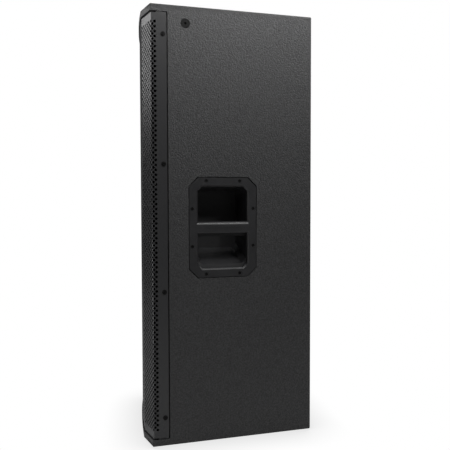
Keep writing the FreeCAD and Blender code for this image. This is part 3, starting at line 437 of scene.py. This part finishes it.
def turned_piece(name, slot, body, replaced, outlines, steps=72):
    mesh = bmesh.new()
    for profile, x, z in outlines:
        spin_profile(mesh, profile, x, z, steps)
    bmesh.ops.remove_doubles(mesh, verts=mesh.verts, dist=1e-6)
    bmesh.ops.recalc_face_normals(mesh, faces=mesh.faces)
    return smooth(add_piece(name, mesh, slot, body, replaced), 50.0)


def walled(front, wall):
    """A closed outline from (radius, y) points on its front and a wall behind them."""
    return front + [(radius, y + wall) for radius, y in reversed(front)]


# ---- Woofers ----------------------------------------------------------------------------
CONE_RIM = 127.7 * MM
CONE_NECK = 41.1 * MM
CONE_WALL = 1.6 * MM
CONE_RIBS = 5
CONE_RIB_HEIGHT = 0.7 * MM
CONE_SAG = 2.5 * MM            # how far the cone's wall curves behind a straight line
SURROUND_LIP = 3.7 * MM        # flat rim glued to the frame
CAP_RIM = 48.0 * MM
CAP_WALL = 1.0 * MM
SPIDER_FOLDS = 6
SPIDER_FOLD_HEIGHT = 1.6 * MM
SPIDER_COIL_GAP = 0.3 * MM


def cone_front(rim_y, neck_y, steps=60):
    points = []
    for n in range(steps + 1):
        share = n / steps
        radius = CONE_RIM + (CONE_NECK - CONE_RIM) * share
        sag = CONE_SAG * math.sin(math.pi * share)
        rib = CONE_RIB_HEIGHT * max(0.0, math.cos(2 * math.pi * CONE_RIBS * share)) ** 4
        points.append((radius, rim_y + (neck_y - rim_y) * share + sag - (rib if 0 < n < steps else 0)))
    return points


def radial_blend(piece, moving_body, z, inner, outer):
    """The piece follows the cabinet at its outer edge and the moving body at its inner edge."""
    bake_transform(piece, "cabinet", moving_body, (outer, 0, z), (inner, 0, z))
    weights = piece.data.attributes["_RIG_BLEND"].data
    for vertex, weight in zip(piece.data.vertices, weights):
        radius = math.hypot(vertex.co.x, vertex.co.z - z)
        share = min(1.0, max(0.0, (outer - radius) / (outer - inner)))
        weight.value = share * share * (3 - 2 * share)


def make_woofer(which):
    body = which + "_cone_assembly"
    cone_low, cone_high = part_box(which + "_cone")
    roll_low, roll_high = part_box(which + "_surround")
    spider_low, spider_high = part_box(which + "_spider")
    coil_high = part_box(which + "_voice_coil")[1]
    z = (cone_low.z + cone_high.z) / 2
    neck_y = cone_high.y - 2 * CONE_WALL
    turned_piece(which + "_cone_finished", "cone_paper", body, [which + "_cone"],
                 [(walled(cone_front(cone_low.y, neck_y), CONE_WALL), 0.0, z)])

    outer = (roll_high.x - roll_low.x) / 2
    roll_end = outer - SURROUND_LIP
    roll_radius = (roll_end - CONE_RIM) / 2
    plane = roll_high.y - 0.6 * MM
    front = [(CONE_RIM - 2 * MM, plane)]
    for n in range(25):
        angle = math.pi * (1 - n / 24)
        front.append((CONE_RIM + roll_radius * (1 + math.cos(angle)),
                      plane - (plane - roll_low.y) * math.sin(angle)))
    front.append((outer, plane))
    roll = turned_piece(which + "_surround_finished", "surround_rubber", None,
                        [which + "_surround"], [(walled(front, 0.6 * MM), 0.0, z)])
    radial_blend(roll, body, z, CONE_RIM, roll_end)

    cap_low, cap_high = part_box(which + "_dust_cap")
    rise = cap_high.y - cap_low.y - CAP_WALL
    sphere = (CAP_RIM ** 2 + rise ** 2) / (2 * rise)
    sweep = math.asin(CAP_RIM / sphere)
    dome = [(max(1e-5, sphere * math.sin(sweep * n / 24)),
             cap_low.y + sphere * (1 - math.cos(sweep * n / 24))) for n in range(25)]
    turned_piece(which + "_dust_cap_finished", "cone_paper", body, [which + "_dust_cap"],
                 [(walled(dome, CAP_WALL), 0.0, z)])

    spider_outer = (spider_high.x - spider_low.x) / 2
    spider_inner = coil_high.x + SPIDER_COIL_GAP
    spider_y = spider_high.y - 1.0 * MM
    folds = []
    for n in range(97):
        share = n / 96
        ripple = math.sin(2 * math.pi * SPIDER_FOLDS * share) * math.sin(math.pi * share) ** 0.3
        folds.append((spider_inner + (spider_outer - spider_inner) * share,
                      spider_y - SPIDER_FOLD_HEIGHT * ripple))
    spider = turned_piece(which + "_spider_finished", "spider_cloth", None,
                          [which + "_spider"], [(walled(folds, 0.6 * MM), 0.0, z)])
    radial_blend(spider, body, z, spider_inner, spider_outer)


# ---- Ports and horn ---------------------------------------------------------------------
PORT_RADIUS = 33.0 * MM
PORT_WALL = 3.0 * MM
PORT_LIP = 8.0 * MM
PORT_LIP_THICKNESS = 4.0 * MM
PORT_SPREAD = 128.0 * MM
HORN_STEPS = 26
HORN_SEGMENTS = 64
HORN_WALL = 4.0 * MM
HORN_DEPTH = 200.0 * MM
HORN_MOUTH = Vector((306.0, 246.0)) * MM
HORN_THROAT = 38.0 * MM


def make_ports():
    low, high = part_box("port_tubes")
    lip_radius = PORT_RADIUS + PORT_WALL + PORT_LIP
    seat = low.y + PORT_LIP_THICKNESS
    flare = 6.0 * MM
    profile = [(PORT_RADIUS, high.y), (PORT_RADIUS, low.y + flare)]
    profile += [(PORT_RADIUS + flare * (1 - math.cos(a)), low.y + flare * (1 - math.sin(a)))
                for a in (math.radians(15 * n) for n in range(1, 6))]
    profile += [(PORT_RADIUS + flare, low.y), (lip_radius - 1.5 * MM, low.y),
                (lip_radius - 0.4 * MM, low.y + 0.4 * MM), (lip_radius, low.y + 1.5 * MM),
                (lip_radius, seat), (PORT_RADIUS + PORT_WALL, seat), (PORT_RADIUS + PORT_WALL, high.y)]
    heights = (low.z + lip_radius, high.z - lip_radius)
    turned_piece("port_tubes_finished", "horn_plastic", "cabinet", ["port_tubes"],
                 [(profile, side * PORT_SPREAD, z) for z in heights for side in (-1, 1)])


def horn_loop(mesh, width, height, squareness, y, z):
    """A ring of points between a circle (squareness 2) and a rectangle (8 and more)."""
    made = bmesh.ops.create_circle(mesh, segments=HORN_SEGMENTS, radius=1.0)["verts"]
    for vertex in made:
        x, up = vertex.co.x, vertex.co.y
        vertex.co = Vector((math.copysign(abs(x) ** (2 / squareness), x) * width / 2, y,
                            z + math.copysign(abs(up) ** (2 / squareness), up) * height / 2))
    return list({edge for vertex in made for edge in vertex.link_edges})


def make_horn():
    low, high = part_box("horn")
    z = (low.z + high.z) / 2
    front = low.y
    throat_y = front + HORN_DEPTH
    flange_width, flange_height = high.x - low.x, high.z - low.z
    mouth_width, mouth_height, throat = HORN_MOUTH.x, HORN_MOUTH.y, HORN_THROAT
    loops = [(flange_width, flange_height, 24.0, front + 5.0 * MM),
             (flange_width, flange_height, 24.0, front + 1.0 * MM),
             (flange_width - 2 * MM, flange_height - 2 * MM, 24.0, front),
             (mouth_width + 8 * MM, mouth_height + 8 * MM, 9.0, front),
             (mouth_width + 2 * MM, mouth_height + 2 * MM, 8.5, front + 1.5 * MM)]
    for n in range(HORN_STEPS + 1):
        share = n / HORN_STEPS
        flare = (1 - share) ** 1.55
        loops.append((throat + (mouth_width - throat) * flare, throat + (mouth_height - throat) * flare,
                      2.0 + 6.0 * (1 - share) ** 1.3, front + 5 * MM + share * (throat_y - front - 5 * MM)))
    mesh = bmesh.new()
    edges = [horn_loop(mesh, *loop, z) for loop in loops]
    for before, after in zip(edges, edges[1:]):
        bmesh.ops.bridge_loops(mesh, edges=before + after)
    bmesh.ops.recalc_face_normals(mesh, faces=mesh.faces)
    inside = min(mesh.faces, key=lambda face: abs(face.calc_center_median().y - throat_y))
    centre = inside.calc_center_median()
    if inside.normal.dot(Vector((centre.x, 0, centre.z - z))) > 0:
        bmesh.ops.reverse_faces(mesh, faces=mesh.faces)
    bmesh.ops.solidify(mesh, geom=mesh.faces[:], thickness=HORN_WALL)
    smooth(add_piece("horn_finished", mesh, "horn_plastic", "cabinet", ["horn"]), 40.0)


# ---- Studio -----------------------------------------------------------------------------
CAMERA_ALONG = -246 * MM       # camera's place in the right-hand side's own frame
CAMERA_INWARD = -1514 * MM
CAMERA_HEIGHT = 644 * MM       # above the case's bottom
CAMERA_YAW = math.radians(16.28)
CAMERA_PITCH = math.radians(2.46)
CAMERA_ROLL = math.radians(-0.16)
CAMERA_FOCAL_SHARE = 595.4 / 450.0      # focal length as a share of the picture's width
SENSOR_WIDTH_MM = 36.0
AMBIENT = 0.05                 # what the object sees of the white surroundings
FLOOR_HALF_SIZE = 30.0
FLOOR_BOUNCE = 0.6
FLOOR_SHADOW_REACH = 0.12
FLOOR_SHADOW_TONE = 0.8


def make_camera():
    along = Vector((-math.sin(SIDE_TAPER), math.cos(SIDE_TAPER), 0.0))
    inward = Vector((-math.cos(SIDE_TAPER), -math.sin(SIDE_TAPER), 0.0))
    up = Vector((0.0, 0.0, 1.0))
    place = side_place(CAMERA_ALONG, CAMERA_INWARD, case_bottom + CAMERA_HEIGHT)
    level = along * math.sin(CAMERA_YAW) + inward * math.cos(CAMERA_YAW)
    forward = level * math.cos(CAMERA_PITCH) - up * math.sin(CAMERA_PITCH)
    right = forward.cross(up).normalized()
    above = right.cross(forward)
    rolled = right * math.cos(CAMERA_ROLL) + above * math.sin(CAMERA_ROLL)
    top = rolled.cross(forward)
    data = bpy.data.cameras.new("camera")
    data.sensor_width = SENSOR_WIDTH_MM
    data.lens = data.sensor_width * CAMERA_FOCAL_SHARE
    camera = bpy.data.objects.new("camera", data)
    turn = Matrix((rolled, top, -forward)).transposed().to_4x4()
    camera.matrix_world = Matrix.Translation(place) @ turn
    bpy.context.scene.collection.objects.link(camera)
    bpy.context.scene.camera = camera


def area_light(name, place, target, size, power):
    data = bpy.data.lights.new(name, "AREA")
    data.shape = "RECTANGLE"
    data.size, data.size_y = size
    data.energy = power
    light = bpy.data.objects.new(name, data)
    light.location = place
    light.rotation_euler = (Vector(target) - Vector(place)).to_track_quat("-Z", "Y").to_euler()
    bpy.context.scene.collection.objects.link(light)


def make_world():
    world = bpy.data.worlds.new("studio")
    world.use_nodes = True
    tree = world.node_tree
    tree.nodes.clear()
    ray = tree.nodes.new("ShaderNodeLightPath")
    backdrop = tree.nodes.new("ShaderNodeBackground")
    backdrop.inputs["Strength"].default_value = 1.0
    ambient = tree.nodes.new("ShaderNodeBackground")
    ambient.inputs["Strength"].default_value = AMBIENT
    for background in (backdrop, ambient):
        background.inputs["Color"].default_value = (1, 1, 1, 1)
    choose = tree.nodes.new("ShaderNodeMixShader")
    output = tree.nodes.new("ShaderNodeOutputWorld")
    tree.links.new(ray.outputs["Is Camera Ray"], choose.inputs["Fac"])
    tree.links.new(ambient.outputs[0], choose.inputs[1])
    tree.links.new(backdrop.outputs[0], choose.inputs[2])
    tree.links.new(choose.outputs[0], output.inputs["Surface"])
    bpy.context.scene.world = world


def make_floor():
    """A white sweep: full white to the eye, with a soft contact shadow, and a dim bounce."""
    mesh = bmesh.new()
    bmesh.ops.create_grid(mesh, x_segments=1, y_segments=1, size=FLOOR_HALF_SIZE)
    data = bpy.data.meshes.new("floor")
    mesh.to_mesh(data)
    mesh.free()
    floor = bpy.data.objects.new("floor", data)
    bpy.context.scene.collection.objects.link(floor)
    material = bpy.data.materials.new("floor_white")
    material.use_nodes = True
    tree = material.node_tree
    tree.nodes.clear()
    ray = tree.nodes.new("ShaderNodeLightPath")
    bounce = tree.nodes.new("ShaderNodeBsdfDiffuse")
    bounce.inputs["Color"].default_value = (FLOOR_BOUNCE, FLOOR_BOUNCE, FLOOR_BOUNCE, 1)
    nearness = tree.nodes.new("ShaderNodeAmbientOcclusion")
    nearness.inputs["Distance"].default_value = FLOOR_SHADOW_REACH
    tone = tree.nodes.new("ShaderNodeMapRange")
    tone.inputs["From Min"].default_value = 0.5
    tone.inputs["To Min"].default_value = FLOOR_SHADOW_TONE
    glow = tree.nodes.new("ShaderNodeEmission")
    choose = tree.nodes.new("ShaderNodeMixShader")
    output = tree.nodes.new("ShaderNodeOutputMaterial")
    tree.links.new(nearness.outputs["AO"], tone.inputs["Value"])
    tree.links.new(tone.outputs["Result"], glow.inputs["Strength"])
    tree.links.new(ray.outputs["Is Camera Ray"], choose.inputs["Fac"])
    tree.links.new(bounce.outputs[0], choose.inputs[1])
    tree.links.new(glow.outputs[0], choose.inputs[2])
    tree.links.new(choose.outputs[0], output.inputs["Surface"])
    data.materials.append(material)


def make_studio():
    bpy.context.scene.view_settings.view_transform = "Standard"
    make_world()
    make_floor()
    middle = (case_bottom + case_top) / 2
    area_light("key", side_place(1.23, -1.6, 2.25), side_place(0.2, 0.0, middle), (0.16, 0.16), 14.5)
    area_light("overhead", side_place(0.5, -0.6, 1.75), side_place(0.3, 0.0, 1.0), (1.6, 0.3), 15.0)
    area_light("front", (-1.5, -2.1, 1.7), (0.1, -0.22, middle + 0.3), (0.9, 0.9), 11.0)
    area_light("facet", (0.35, -1.4, 1.5), (0.17, -0.2, middle + 0.2), (0.35, 0.35), 9.0)
    area_light("low_front", (0.3, -1.2, 0.25), (0.17, -0.2, 0.2), (0.4, 0.4), 4.5)
    area_light("rear", (-1.5, 2.4, 2.0), (0.0, 0.2, middle), (1.2, 1.2), 30.0)


for node_name, node_object in nodes.items():
    dress(node_object, slot_of[node_name])
make_camera()
make_studio()
make_grille()
make_refined()
for which_woofer in ("lower", "upper"):
    make_woofer(which_woofer)
make_ports()
make_horn()
